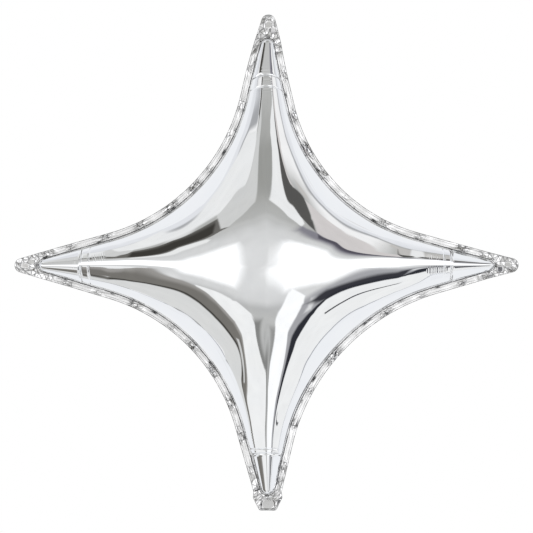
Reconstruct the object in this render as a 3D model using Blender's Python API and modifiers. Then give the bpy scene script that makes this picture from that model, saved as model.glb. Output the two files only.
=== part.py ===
"""Star foil balloon: two mirror-bright film panels welded round their edge and filled with gas.

The star stands upright in the XZ plane, its front faces -Y and +Z runs to the top tip.
The origin is the star's centre, in the plane of the weld. Sizes are metres.
"""
import math

import bmesh
import bpy
import numpy as np

# Outline of the filled star, seen from the front. Arms and sides are numbered anticlockwise from
# the right arm, and the upper right side follows that arm.
RIGHT, TOP, LEFT, BOTTOM = range(4)
TIP_REACH = 0.315                 # centre to the rounded end of a sealed tip
TAIL_REACH = 0.305                # centre to the blunt end of the filling tail
SEAL_WIDTH = 0.009                # heat-sealed border outside the weld line
ARM_SLOPES = (0.284, 0.235, 0.290, 0.262)   # straight outer part of a side, to its arm's axis
ROUND_SIDES = (
    # centre of the round side along the arm before it, along the arm after it, radius
    (0.2460, 0.2520, 0.2170),
    (0.2670, 0.2605, 0.2340),
    (0.2640, 0.2640, 0.2335),
    (0.2845, 0.2860, 0.2610),
)

# Filled part of the panels
GAS_REACH = 0.285                 # centre to the end of the filled part of an arm
GAS_END_LENGTH = 0.006            # rounded end of that part
WAIST = 0.089                     # nearest weld point to the centre, along both arms
CENTRE_RISE = 0.102               # weld plane to the crown of a panel
CROWN_BLEND = 0.04                # stretch over which opposite arms' shapes change over
CROWN_SHARPNESS = 2.3             # how firmly the crown levels off
WAIST_SHARPNESS = 1.5             # how firmly two arms run together
PINCH_AT = 0.226                  # the crease across each arm, from the centre
PINCH_HALF_WIDTH = 0.004
PINCH_DEPTH = 0.16                # share of the arm's height that the crease takes

# Thicknesses, stand-ins for film of about 0.04 mm
PANEL_WALL = 0.001
SEAL_THICKNESS = 0.001
LIP_HEIGHT = 0.0012               # upright edge of a panel at the weld
TAIL_PLY = 0.0006
VALVE_FILM = 0.0004
GAP = 0.0003                      # between pieces that touch

# Tips and tail
TIP_CORNER = 0.0085               # rounded end of a tip
TAIL_CORNER = 0.0045
TAIL_SHOULDER_REACH = 0.289       # where the tail's sides bend in
TAIL_TOP_HALF_WIDTH = 0.0183
TAIL_END_HALF_WIDTH = 0.0104
SEAL_END = GAS_REACH - GAS_END_LENGTH
VALVE_HALF_WIDTH = 0.0085
VALVE_SHORT_OF_TAIL = 0.0008      # the valve films end this far inside the tail's mouth

# Turn of a piece made along +X onto each arm, about the Y axis
ARM_TURNS = (0.0, -math.pi / 2, math.pi, math.pi / 2)

# Fineness
ARM_STEP = 0.013                  # between sections along an arm
SECTION_STEPS = 6                 # from the weld to the spine
CAP_STEPS = 3
SIDE_STEPS = 18
CORNER_STEPS = 5


def clear_scene():
    for old in list(bpy.data.objects):
        bpy.data.objects.remove(old, do_unlink=True)


def film_material(name, colour, roughness, metallic, alpha=1.0):
    material = bpy.data.materials.new(name)
    material.use_nodes = True
    shader = material.node_tree.nodes["Principled BSDF"]
    shader.inputs["Base Color"].default_value = (*colour, 1.0)
    shader.inputs["Roughness"].default_value = roughness
    shader.inputs["Metallic"].default_value = metallic
    shader.inputs["Alpha"].default_value = alpha
    return material


def place(obj, collection, parent, material):
    collection.objects.link(obj)
    obj.parent = parent
    obj.data.materials.append(material)
    return obj


def smooth_step(share):
    share = np.clip(share, 0.0, 1.0)
    return share * share * (3.0 - 2.0 * share)


def side_half_width(along, arm, after, inset):
    """Distance from an arm's axis to its side, for the outline moved in by inset.

    after is true for the side that follows the arm, and false for the one before it. A side is a
    circle with its tangents towards both tips. The steep tangent is the one along the other arm.
    """
    side = arm if after else arm - 1
    other = (arm + 1) % 4 if after else arm - 1
    centre_along, centre_across, radius = ROUND_SIDES[side]
    if not after:
        centre_along, centre_across = centre_across, centre_along
    radius += inset
    slope = ARM_SLOPES[arm]
    taper = math.atan(slope)
    steep = math.atan(ARM_SLOPES[other])
    far = centre_along - radius * math.sin(taper)
    near = centre_across - radius * math.cos(taper)
    steep_along = centre_along - radius * math.cos(steep)
    steep_across = centre_across - radius * math.sin(steep)
    inside_circle = np.clip(radius ** 2 - (centre_along - along) ** 2, 0.0, None)
    round_part = centre_across - np.sqrt(inside_circle)
    outer_part = near - slope * (along - far)
    steep_part = steep_across + (steep_along - along) / ARM_SLOPES[other]
    return np.where(along > far, outer_part, np.where(along < steep_along, steep_part, round_part))


def arm_edges(along, arm, inset):
    """Middle line and half-width of an arm between its two sides."""
    after = side_half_width(along, arm, True, inset)
    before = side_half_width(along, arm, False, inset)
    return (after - before) / 2, (after + before) / 2


def gas_edges(along, arm):
    """Middle line and half-width of the filled arm, closed by a half ellipse at its end."""
    into_end = np.clip((along - SEAL_END) / GAS_END_LENGTH, 0.0, 1.0)
    middle, half = arm_edges(along, arm, SEAL_WIDTH)
    return middle, half * np.sqrt(1.0 - into_end ** 2)


def arm_plan(x, z, arm):
    """Distances along an arm, and across it anticlockwise."""
    return ((x, z), (z, -x), (-x, -z), (-z, x))[arm]


def quarter_turned(plan, turns):
    """Plan points turned anticlockwise about the star's centre."""
    u, v = plan[..., 0], plan[..., 1]
    x, z = ((u, v), (-v, u), (-u, -v), (v, -u))[turns]
    return np.stack([x, z], axis=-1)


def tube(x, z, ahead, behind):
    """Height squared of the round tube that two opposite arms would make alone: at each place
    across, the distance to the one side times the distance to the other."""
    squares = []
    for arm in (ahead, behind):
        along, across = arm_plan(x, z, arm)
        middle, half = gas_edges(np.abs(along), arm)
        squares.append(half ** 2 - (across - middle) ** 2)
    along, across = arm_plan(x, z, ahead)
    share = smooth_step(0.5 + along / CROWN_BLEND)
    return np.clip(squares[1] + (squares[0] - squares[1]) * share, 1e-12, None)


def panel_height(x, z):
    """Height of the filled panel over the weld plane.

    Each arm alone would be a round tube, height squared = half-width squared - offset squared.
    The square of the height is the soft minimum of both arms' tubes and of the crown's height.
    """
    level = tube(x, z, RIGHT, LEFT)
    upright = tube(x, z, TOP, BOTTOM)
    arms = (level ** -WAIST_SHARPNESS + upright ** -WAIST_SHARPNESS) ** (-1.0 / WAIST_SHARPNESS)
    crown = CENTRE_RISE ** 2
    square = (arms ** -CROWN_SHARPNESS + crown ** -CROWN_SHARPNESS) ** (-1.0 / CROWN_SHARPNESS)
    along = np.maximum(np.abs(x), np.abs(z))
    pinch = PINCH_DEPTH * np.exp(-((along - PINCH_AT) / PINCH_HALF_WIDTH) ** 2)
    return np.sqrt(square) * (1.0 - pinch)


def arm_sections():
    """Distances along an arm of the sections from its tip to the waist, at weld and spine."""
    round_end = np.linspace(0.0, math.pi / 2, CAP_STEPS + 1)
    cap_along = SEAL_END + GAS_END_LENGTH * np.cos(round_end)
    cap_spine = SEAL_END - GAS_END_LENGTH + 0.8 * GAS_END_LENGTH * np.cos(round_end)
    steps = round((SEAL_END - WAIST) / ARM_STEP)
    even = np.linspace(WAIST, SEAL_END, steps + 1)[:-1]
    pinch = PINCH_AT + PINCH_HALF_WIDTH * np.linspace(-1.4, 1.4, 5)
    even = even[np.abs(even - PINCH_AT) > 2.2 * PINCH_HALF_WIDTH]
    along = np.sort(np.concatenate([even, pinch]))[::-1]
    pulled_in = GAS_END_LENGTH * np.exp(-(SEAL_END - along) / (2.5 * GAS_END_LENGTH))
    turned = WAIST * ((GAS_REACH - along) / (GAS_REACH - WAIST)) ** 4
    spine = along - pulled_in - turned
    weld = np.concatenate([cap_along, along])
    return weld, np.concatenate([cap_spine, spine])


def half_quadrant(side, after):
    """Weld points and spine points of the sections beside one arm of a quadrant.

    They are distances along the quadrant's two arms. after is true for the first of them, which
    the side follows.
    """
    weld_along, spine_along = arm_sections()
    arm = side if after else (side + 1) % 4
    centre_first, centre_second, radius = ROUND_SIDES[side]
    centre = centre_first if after else centre_second
    waist = centre - (radius + SEAL_WIDTH) / math.sqrt(2.0)
    near_waist = smooth_step((SEAL_END - weld_along) / (SEAL_END - WAIST))
    along = weld_along + (waist - WAIST) * near_waist
    way = 1.0 if after else -1.0
    middle, half = gas_edges(along, arm)
    axis = gas_edges(spine_along, arm)[0] * smooth_step((spine_along - 0.12) / 0.08)
    weld = np.stack([along, half + way * middle], axis=1)
    spine = np.stack([spine_along, way * axis], axis=1)
    weld[0, 1] = spine[0, 1]
    spine[-1] = 0.0
    if after:
        return weld, spine
    return weld[:, ::-1], spine[:, ::-1]


def quadrant_points(side):
    """Plan points of the quadrant at a side, section by section from one arm round to the next."""
    weld, spine = half_quadrant(side, True)
    next_weld, next_spine = half_quadrant(side, False)
    weld = np.concatenate([weld, next_weld[-2::-1]])
    spine = np.concatenate([spine, next_spine[-2::-1]])
    share = 1.0 - np.cos(np.linspace(0.0, math.pi / 2, SECTION_STEPS + 1))
    plan = weld[:, None, :] + (spine - weld)[:, None, :] * share[None, :, None]
    return quarter_turned(plan, side)


def quadrant_shell(side, facing):
    """Points and faces of one quadrant of a film panel, with its upright edge at the weld."""
    plan = quadrant_points(side)
    height = panel_height(plan[..., 0], plan[..., 1])
    height[:, 0] = 0.0
    plan = np.concatenate([plan[:, :1], plan], axis=1)
    depth = np.concatenate([np.zeros((len(height), 1)), LIP_HEIGHT + height], axis=1)
    y = facing * (GAP / 2 + depth)
    points = np.stack([plan[..., 0], y, plan[..., 1]], axis=2)
    number = np.arange(y.size).reshape(y.shape)
    corners = [number[:-1, :-1], number[1:, :-1], number[1:, 1:], number[:-1, 1:]]
    if facing > 0:
        corners.reverse()
    return points.reshape(-1, 3), np.stack(corners, axis=2).reshape(-1, 4)


def panel(name, facing, collection, parent, material):
    """One film panel: four quadrants joined, the wall thickened inwards.

    facing is -1 for the front panel and +1 for the back one.
    """
    points, faces = [], []
    start = 0
    for side in range(4):
        found, corners = quadrant_shell(side, facing)
        points.extend(found.tolist())
        faces.extend((corners + start).tolist())
        start = len(points)
    mesh = bpy.data.meshes.new(name)
    mesh.from_pydata(points, [], faces)
    shell = bmesh.new()
    shell.from_mesh(mesh)
    bmesh.ops.remove_doubles(shell, verts=shell.verts, dist=0.00001)
    shell.to_mesh(mesh)
    shell.free()
    mesh.shade_smooth()
    obj = place(bpy.data.objects.new(name, mesh), collection, parent, material)
    wall = obj.modifiers.new("wall", "SOLIDIFY")
    wall.thickness = PANEL_WALL
    wall.offset = -1.0
    wall.use_even_offset = True
    return obj


def rounded(corner, before, after, radius):
    """Arc that rounds the corner between the points before and after it."""
    corner, before, after = (np.array(point, float) for point in (corner, before, after))
    to_before = (before - corner) / np.linalg.norm(before - corner)
    to_after = (after - corner) / np.linalg.norm(after - corner)
    half_angle = math.acos(float(np.clip(to_before @ to_after, -1.0, 1.0))) / 2
    middle = (to_before + to_after) / np.linalg.norm(to_before + to_after)
    centre = corner + middle * radius / math.sin(half_angle)
    sweep = math.pi / 2 - half_angle
    start = corner + to_before * radius / math.tan(half_angle) - centre
    turn = np.sign(to_before[0] * to_after[1] - to_before[1] * to_after[0])
    points = []
    for share in np.linspace(0.0, 1.0, CORNER_STEPS + 1):
        angle = -turn * 2 * sweep * share
        cos, sin = math.cos(angle), math.sin(angle)
        points.append(centre + (cos * start[0] - sin * start[1], sin * start[0] + cos * start[1]))
    return points


def side_points(side, inset, end):
    """Side line in its quadrant, from end on the arm before it to end on the arm after it."""
    centre_first, centre_second, radius = ROUND_SIDES[side]
    radius += inset
    following = (side + 1) % 4
    first_taper = math.atan(ARM_SLOPES[side])
    second_taper = math.atan(ARM_SLOPES[following])
    angles = np.linspace(first_taper, math.pi / 2 - second_taper, SIDE_STEPS + 1)
    arc = [(centre_first - radius * math.sin(a), centre_second - radius * math.cos(a)) for a in angles]
    start_width = float(side_half_width(end, side, True, inset))
    end_width = float(side_half_width(end, following, False, inset))
    return [(end, start_width)] + arc + [(end_width, end)]


def seal_outline(side):
    """Heat-sealed border between two tips: from just outside the weld to the cut edge."""
    inner = side_points(side, SEAL_WIDTH - GAP, SEAL_END)
    outer = side_points(side, 0.0, SEAL_END)
    return inner + outer[::-1]


def gas_end_notch(arm):
    """Notch that leaves room for the round end of the filled arm, clockwise to anticlockwise."""
    middle, width = (float(v) for v in arm_edges(SEAL_END, arm, SEAL_WIDTH - GAP))
    points = []
    for angle in np.linspace(-math.pi / 2, math.pi / 2, 2 * CAP_STEPS + 1):
        along = SEAL_END + GAP + (GAS_END_LENGTH + GAP) * math.cos(angle)
        points.append((along, middle + width * math.sin(angle)))
    return points


def end_outline(arm, reach, corner_radius, shoulder, end_width):
    """Sealed end beyond the filled arm: its notch, then round its corners and shoulders."""
    middle, start_width = (float(v) for v in arm_edges(SEAL_END, arm, 0.0))
    start = (SEAL_END + GAP, start_width)
    half = [start] + shoulder
    half += [tuple(p) for p in rounded((reach, end_width), half[-1], (reach, 0.0), corner_radius)]
    if end_width > corner_radius:
        half.append((reach, 0.0))
    outline = gas_end_notch(arm)[::-1]
    outline += [(along, middle - across) for along, across in half]
    outline += [(along, middle + across) for along, across in half[::-1] if across > 1e-9]
    return outline


def tip_outline(arm):
    """Sealed tip, its end rounded."""
    end_width = float(arm_edges(TIP_REACH, arm, 0.0)[1])
    return end_outline(arm, TIP_REACH, min(TIP_CORNER, end_width), [], end_width)


def tail_outline():
    """One ply of the blunt filling tail."""
    shoulder = [(TAIL_SHOULDER_REACH, TAIL_TOP_HALF_WIDTH)]
    return end_outline(BOTTOM, TAIL_REACH, TAIL_CORNER, shoulder, TAIL_END_HALF_WIDTH)


def valve_outline():
    """One film of the flat filling valve, between the plies of the tail."""
    start = GAS_REACH + 2 * GAP
    end = TAIL_REACH - VALVE_SHORT_OF_TAIL
    half = VALVE_HALF_WIDTH
    return [(start, half), (end, half), (end, -half), (start, -half)]


def flat_plate(name, outline, thickness, y, arm, collection, parent, material):
    """A flat outline drawn along +X, stood up in the XZ plane and turned onto its arm."""
    curve = bpy.data.curves.new(name, "CURVE")
    curve.dimensions = "2D"
    curve.fill_mode = "BOTH"
    curve.extrude = thickness / 2
    spline = curve.splines.new("POLY")
    spline.points.add(len(outline) - 1)
    for point, (along, across) in zip(spline.points, outline):
        point.co = (along, across, 0.0, 1.0)
    spline.use_cyclic_u = True
    obj = place(bpy.data.objects.new(name, curve), collection, parent, material)
    obj.rotation_euler = (math.pi / 2, ARM_TURNS[arm], 0.0)
    obj.location = (0.0, y, 0.0)
    return obj


def main():
    clear_scene()
    collection = bpy.data.collections.new("star_foil_balloon")
    bpy.context.scene.collection.children.link(collection)
    centre = bpy.data.objects.new("star_centre", None)
    collection.objects.link(centre)

    front_film = film_material("silver_front_film", (0.80, 0.82, 0.85), 0.04, 1.0)
    back_film = film_material("silver_back_film", (0.80, 0.82, 0.85), 0.05, 1.0)
    panel("front_panel", -1, collection, centre, front_film)
    panel("back_panel", 1, collection, centre, back_film)

    seals = ("seal_upper_right", "seal_upper_left", "seal_lower_left", "seal_lower_right")
    for side, name in enumerate(seals):
        film = film_material(name + "_film", (0.78, 0.80, 0.83), 0.12, 1.0)
        flat_plate(name, seal_outline(side), SEAL_THICKNESS, 0.0, side, collection, centre, film)

    for arm, name in ((RIGHT, "tip_tab_right"), (TOP, "tip_tab_top"), (LEFT, "tip_tab_left")):
        film = film_material(name + "_film", (0.78, 0.80, 0.83), 0.12, 1.0)
        flat_plate(name, tip_outline(arm), SEAL_THICKNESS, 0.0, arm, collection, centre, film)

    film_y = GAP / 2 + VALVE_FILM / 2
    ply_y = GAP / 2 + VALVE_FILM + GAP + TAIL_PLY / 2
    tail = [
        # name, outline, thickness, distance from the weld plane, colour, roughness, metallic, alpha
        ("tail_front_ply", tail_outline(), TAIL_PLY, -ply_y, (0.78, 0.80, 0.83), 0.12, 1.0, 1.0),
        ("tail_back_ply", tail_outline(), TAIL_PLY, ply_y, (0.78, 0.80, 0.83), 0.12, 1.0, 1.0),
        ("valve_front_film", valve_outline(), VALVE_FILM, -film_y, (0.8, 0.8, 0.8), 0.2, 0.0, 0.5),
        ("valve_back_film", valve_outline(), VALVE_FILM, film_y, (0.8, 0.8, 0.8), 0.2, 0.0, 0.5),
    ]
    for name, outline, thickness, y, colour, roughness, metallic, alpha in tail:
        film = film_material(name + "_film", colour, roughness, metallic, alpha)
        flat_plate(name, outline, thickness, y, BOTTOM, collection, centre, film)


main()
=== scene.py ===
"""Star foil balloon: the looks of its two mirror-bright film panels, crumpled border and tail.

Metres, +Z up. The star stands upright in the XZ plane, its front faces -Y, and the origin is its
centre in the plane of the weld.
"""
import math

import bpy
import numpy as np
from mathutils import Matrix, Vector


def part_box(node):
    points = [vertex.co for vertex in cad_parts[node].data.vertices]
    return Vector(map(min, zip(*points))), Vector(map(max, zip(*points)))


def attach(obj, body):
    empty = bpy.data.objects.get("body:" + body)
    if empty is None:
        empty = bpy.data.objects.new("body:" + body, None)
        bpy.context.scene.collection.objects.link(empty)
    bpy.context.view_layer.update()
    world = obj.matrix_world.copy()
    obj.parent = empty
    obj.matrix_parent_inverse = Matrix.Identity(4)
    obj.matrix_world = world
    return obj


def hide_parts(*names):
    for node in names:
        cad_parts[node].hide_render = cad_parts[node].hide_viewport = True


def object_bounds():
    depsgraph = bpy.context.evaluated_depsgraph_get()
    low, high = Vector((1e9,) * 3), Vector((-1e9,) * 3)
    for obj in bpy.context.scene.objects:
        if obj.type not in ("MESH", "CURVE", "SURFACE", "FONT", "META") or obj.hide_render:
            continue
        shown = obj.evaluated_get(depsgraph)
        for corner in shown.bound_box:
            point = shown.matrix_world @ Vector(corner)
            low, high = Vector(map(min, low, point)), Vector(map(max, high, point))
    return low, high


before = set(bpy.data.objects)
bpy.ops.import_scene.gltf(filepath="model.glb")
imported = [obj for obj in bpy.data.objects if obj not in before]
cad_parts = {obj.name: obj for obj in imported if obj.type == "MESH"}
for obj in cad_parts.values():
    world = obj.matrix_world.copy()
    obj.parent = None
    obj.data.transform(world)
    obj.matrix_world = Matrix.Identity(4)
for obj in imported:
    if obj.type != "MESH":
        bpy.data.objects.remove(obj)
cad_low, cad_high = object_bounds()

# Outline of the film, seen from the front. Arms and sides go anticlockwise from the right arm.
ARM_NAMES = ["right", "top", "left", "bottom"]
SIDE_NAMES = ["upper_right", "upper_left", "lower_left", "lower_right"]
TIP_REACH = cad_high.x            # centre to the rounded end of a sealed tip
TAIL_REACH = -cad_low.z           # centre to the blunt end of the filling tail
SEAL_WIDTH = 0.009                # heat-sealed border outside the weld line
ARM_SLOPES = {"right": 0.284, "top": 0.235, "left": 0.290, "bottom": 0.262}
ROUND_SIDES = {
    # centre of the round side, along the arm before it and the arm after it, and its radius
    "upper_right": (0.2460, 0.2520, 0.2170),
    "upper_left": (0.2670, 0.2605, 0.2340),
    "lower_left": (0.2640, 0.2640, 0.2335),
    "lower_right": (0.2845, 0.2860, 0.2610),
}
TIP_RADIUS = 0.009
TAIL_SHOULDER = (0.289, 0.0183)   # along the arm and across it
TAIL_END_HALF_WIDTH = 0.0104
TAIL_CORNER = 0.0045

# Filled part
WAIST = 0.089                     # nearest weld point to the centre, on both axes, at a mean side
OWN_WAIST = 0.150                 # below this along an arm, a side's sections close up to its waist
AXIS_FROM = 0.12                  # where a panel's spine leaves the axis for the arm's middle line
AXIS_LENGTH = 0.08                # and the stretch over which it does
GAS_REACH = 0.285                 # centre to the end of the filled part of an arm
GAS_END_LENGTH = 0.006            # rounded end of that part
SEAL_END = GAS_REACH - GAS_END_LENGTH
CENTRE_RISE = 0.102               # weld plane to the crown of a panel
CROWN_SHARPNESS = 2.3             # how firmly the crown levels off
WAIST_SHARPNESS = 1.5             # how firmly two arms run together
CROWN_BLEND = 0.04                # stretch over which opposite arms' shapes change over

# Thicknesses, stand-ins for film of about 0.04 mm
PANEL_WALL = 0.001
PANEL_FOOT = 0.00015              # weld plane to a panel's edge
BORDER_THICKNESS = 0.00026
TUCK = 0.0006                     # the border starts this far inside the weld line

# Shape of each filled arm. tilts is its cross-section: places across, in half-widths, and the
# film's tilt there in degrees, positive where it falls anticlockwise, so that a round tube has the
# arc sine of the place. Steps in the tilt are lengthwise pleats. own is where an arm's own section
# sets in and where it is complete, as distances past the diagonal. far is where far_tilts takes
# over from tilts. Beyond the last fold wing flattens the film beside the crest, and end_tilts,
# where given, takes over. arch is how far a fold's middle lies beyond its ends. A fold across the
# arm is its distance from the centre, the share of the height that is lost beyond it, the share
# that its groove takes and its half-width. A ripple is its start and end along the arm, its place
# across it, its spread, its height and its period.
SECTION_EDGE = 0.8                # beyond this the section is an ellipse
FOLD_CHANGE = 0.004               # stretch over which the shape beyond the last fold sets in
RIPPLE_END = 0.006                # stretch over which ripples rise and fade
RIPPLE_DRIFT = 1.6                # how far a ripple's phase drifts to either side
DRIFT_PERIODS = 4.3               # and over how many of its periods
RIPPLE_SLANT = 2.2                # phase that a ripple gains across half the arm
FOOT_HEIGHT = 0.004               # height of the film below which ripples fade
ARMS = {
    "right": dict(
        tilts=[(-0.80, -53), (-0.62, -39), (-0.42, -22), (-0.30, -16), (-0.20, -13), (-0.09, -10),
               (0.07, -5), (0.25, 6.5), (0.28, 12), (0.31, 16), (0.335, 38), (0.54, 38.5),
               (0.80, 53)],
        far_tilts=[(-0.80, -53), (-0.62, -46), (-0.33, -41), (-0.29, -31), (-0.10, -26),
                   (-0.07, -14), (0.07, -5), (0.25, 5), (0.28, 12), (0.335, 39.5), (0.54, 40),
                   (0.80, 53)],
        own=(0.055, 0.150), far=(0.160, 0.210), arch=0.001, wing=0.5,
        folds=[(0.2205, 0.03, 0.05, 0.0008), (0.2296, 0.10, 0.07, 0.0010)],
        ripples=[(0.196, 0.226, -0.22, 0.16, 0.00012, 0.0024),
                 (0.196, 0.219, 0.38, 0.12, 0.00008, 0.0021)]),
    "top": dict(
        tilts=[(-0.80, -53), (-0.62, -41), (-0.57, -39.4), (-0.40, -39), (-0.345, -16.5),
               (-0.12, -6), (0.0, 0), (0.07, 4), (0.24, 13.5), (0.27, 34.5), (0.54, 35.5),
               (0.60, 39.5), (0.80, 53)],
        far_tilts=[(-0.80, -53), (-0.62, -41), (-0.57, -39.4), (-0.40, -39), (-0.345, -16.5),
                   (-0.12, -6), (0.0, 0), (0.07, 4), (0.24, 13.5), (0.27, 40.3), (0.56, 41),
                   (0.61, 43.5), (0.80, 53)],
        end_tilts=[(-0.80, -53), (-0.44, -42), (-0.42, -21), (-0.30, -20), (-0.27, -8), (-0.1, -4),
                   (0.1, 4), (0.27, 8), (0.30, 26), (0.40, 27), (0.42, 41), (0.80, 53)],
        own=(0.040, 0.150), far=(0.145, 0.180), arch=0.0045, wing=0.0,
        folds=[(0.2234, 0.04, 0.05, 0.0008), (0.2379, 0.20, 0.06, 0.0010)],
        ripples=[(0.214, 0.250, 0.0, 0.35, 0.00003, 0.0031)]),
    "left": dict(
        tilts=[(-0.80, -53), (-0.58, -38), (-0.41, -24), (-0.38, -22), (-0.23, -15), (-0.19, -6),
               (-0.06, 3), (0.04, 14), (0.36, 20), (0.39, 23.5), (0.44, 28), (0.65, 39),
               (0.80, 53)],
        far_tilts=[(-0.80, -53), (-0.58, -40), (-0.42, -36), (-0.39, -16.5), (-0.24, -15.8),
                   (-0.20, -5), (-0.06, 3), (0.04, 17), (0.36, 25), (0.40, 34), (0.65, 40),
                   (0.80, 53)],
        end_tilts=[(-0.80, -53), (-0.36, -42), (-0.33, -17), (-0.07, -15.8), (-0.03, 0), (0.05, 2),
                   (0.08, 12), (0.24, 13), (0.27, 23), (0.36, 25), (0.40, 40), (0.80, 53)],
        own=(0.085, 0.165), far=(0.160, 0.205), arch=0.001, wing=0.0,
        folds=[(0.2206, 0.04, 0.05, 0.0008), (0.2310, 0.12, 0.07, 0.0010)],
        ripples=[(0.196, 0.219, -0.25, 0.14, 0.00020, 0.0021),
                 (0.232, 0.243, -0.10, 0.25, 0.00010, 0.0019)]),
    "bottom": dict(
        tilts=[(-0.80, -53), (-0.68, -42), (-0.655, -38), (-0.60, -18), (-0.57, -14.5),
               (-0.30, -12), (-0.02, -5), (0.02, 4), (0.28, 13.5), (0.30, 16.5), (0.335, 20),
               (0.36, 25), (0.65, 40), (0.80, 53)],
        far_tilts=[(-0.80, -53), (-0.68, -42), (-0.655, -38), (-0.60, -16), (-0.57, -12),
                   (-0.30, -10), (-0.02, -5), (0.02, 4), (0.28, 13.5), (0.30, 16.5), (0.335, 25),
                   (0.36, 36), (0.65, 40), (0.80, 53)],
        own=(0.055, 0.150), far=(0.155, 0.190), arch=-0.002, wing=0.45,
        folds=[(0.2260, 0.05, 0.07, 0.0009), (0.2320, 0.10, 0.08, 0.0011)],
        ripples=[(0.200, 0.222, -0.7, 0.2, 0.00005, 0.0026)]),
}

# Heat-sealed border: how it leans, waves and crumples outside the weld line
BORDER_LEAN = math.radians(6.0)   # falls away from the front towards the cut edge
LEAN_SHARE = 1.4                  # the whole fall, over that of a straight lean
WAVE_HEIGHT = 0.00015
LONG_WAVE = 0.034                 # slow waves along the border
SHORT_WAVE = 0.0207
CRUMPLE_HEIGHT = 0.0013
CRUMPLE_LENGTH = 0.0075           # a facet along the border
CRUMPLE_WIDTH = 0.0032            # a facet across it
FACET_SLANT = 0.006               # way out over which the facets shift along by one
CALM = 0.02                       # strength of the crumples between the clusters
TIP_CRUMPLE_HEIGHT = 0.0015
TIP_FACET = 0.0070
CREASE_SHARE = 0.13               # how far the painted shade on a fold reaches into its facets
TIP_STRETCH = 0.022               # last stretch of a side's border that is crumpled as its tip is
TIP_CHANGE = 0.012                # part of that stretch over which the change is made
END_CRUMPLED = 0.8                # how crumpled a sealed end is on the whole
END_FOLD_SHADE = 0.75                  # how dark the painted shade on its folds is
SPOT_RIM_SHADE = 0.7                  # how dark the painted shade on the rim of a flat pressed spot is
SPOT_DEPTH = 0.0004               # how far back such a spot lies
END_EASE = 0.003                  # stretch beside the weld over which crumples set in
SIDE_EASE = 0.0032
VALVE_OUT = 0.004                 # how far outside the weld a valve film's own crumples count as

# Where each sealed end bends aside: start and end of the bend along the arm, and the shift, up
# for the level arms and to the right for the upright ones
TIP_BENDS = {
    "right": (0.200, 0.300, 0.0006),
    "top": (0.240, 0.312, 0.0026),
    "left": (0.180, 0.260, 0.0006),
    "bottom": (0.190, 0.305, 0.0020),
}

# Meshes
PANEL_ROWS = 44                   # cells of a panel's outside from the weld to the spine
WALL_ROWS = 4                     # the same for its inner wall
BORDER_CELL = 0.00055             # length of a border's cell
BORDER_ROWS = 20                  # cells across a border
END_COLUMNS = 160                 # cells round a sealed end, and from the gas to its cut edge
END_ROWS = 40
END_OUTLINE = 0.08                # rough length of a sealed end's outline
VALVE_COLUMNS = 32                # cells across a valve film and along it
VALVE_ROWS = 30
POINT_GRID = 2e6                  # points of a metre; points that round to the same one are joined
SHARP_ANGLE = math.radians(62.0)

# Camera, straight on
CAMERA_DISTANCE = 2.6
PHOTO_WIDTH = 0.66625             # what the photograph's width spans at the weld plane
SENSOR_WIDTH = 36.0               # millimetres

# Floor
FLOOR_DROP = 1.1                  # star's centre to the floor
FLOOR_HALF_WIDTH = 2.2
FLOOR_SAG = 0.002                 # rise of the middle of its edges over its centre

# Paper round the star
SURROUND_GAP = 0.003              # film's cut edge to the paper
SURROUND_WIDTH = 0.057            # beside the arms
SURROUND_CORNER = 0.090           # how much wider it is in the corner between two arms
SURROUND_CORNER_LENGTH = 0.050    # half-width of that bell curve
SURROUND_BACK = 0.0008            # weld plane to the paper
SURROUND_BOW = 0.001              # how much further back its outer edge lies


def linear(hex_colour):
    """sRGB hex value to linear red, green and blue."""
    channels = np.array([int(hex_colour[i:i + 2], 16) for i in (1, 3, 5)]) / 255.0
    dark = channels / 12.92
    bright = ((channels + 0.055) / 1.055) ** 2.4
    return tuple(float(c) for c in np.where(channels <= 0.04045, dark, bright))


def colour(hex_colour):
    """The same as an opaque colour for a node's socket."""
    return (*linear(hex_colour), 1.0)


def add(tree, kind, inputs=None, **settings):
    """Adds a node. settings are its attributes, and inputs holds for a socket's name or number
    either its value or the output that is linked to it."""
    made = tree.nodes.new(kind)
    for name, value in settings.items():
        setattr(made, name, value)
    for key, value in (inputs or {}).items():
        if isinstance(value, bpy.types.NodeSocket):
            tree.links.new(value, made.inputs[key])
        else:
            made.inputs[key].default_value = value
    return made


def smooth_step(share):
    """Eased share: three times its square less twice its cube, held between 0 and 1."""
    share = np.clip(share, 0.0, 1.0)
    return share * share * (3.0 - 2.0 * share)


def side_half_width(along, arm, after, inset):
    """Distance from an arm's axis to its side after it, or before it, at a distance along it, for
    the outline moved in by inset: the side's circle, and its tangents along both arms."""
    number = ARM_NAMES.index(arm)
    side = SIDE_NAMES[number if after else number - 1]
    other = ARM_NAMES[(number + 1) % 4 if after else number - 1]
    centre_along, centre_across, radius = ROUND_SIDES[side]
    if not after:
        centre_along, centre_across = centre_across, centre_along
    radius = radius + inset
    taper, steep = math.atan(ARM_SLOPES[arm]), math.atan(ARM_SLOPES[other])
    far = centre_along - radius * math.sin(taper)
    near = centre_across - radius * math.cos(taper)
    steep_along = centre_along - radius * math.cos(steep)
    steep_across = centre_across - radius * math.sin(steep)
    inside_circle = np.clip(radius ** 2 - (centre_along - along) ** 2, 0.0, None)
    round_part = centre_across - np.sqrt(inside_circle)
    outer_part = near - ARM_SLOPES[arm] * (along - far)
    steep_part = steep_across + (steep_along - along) / ARM_SLOPES[other]
    return np.where(along > far, outer_part, np.where(along < steep_along, steep_part, round_part))


def arm_edges(along, arm, inset=SEAL_WIDTH):
    """Middle line and half-width of an arm between its two sides."""
    after = side_half_width(along, arm, True, inset)
    before = side_half_width(along, arm, False, inset)
    return (after - before) / 2.0, (after + before) / 2.0


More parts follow.
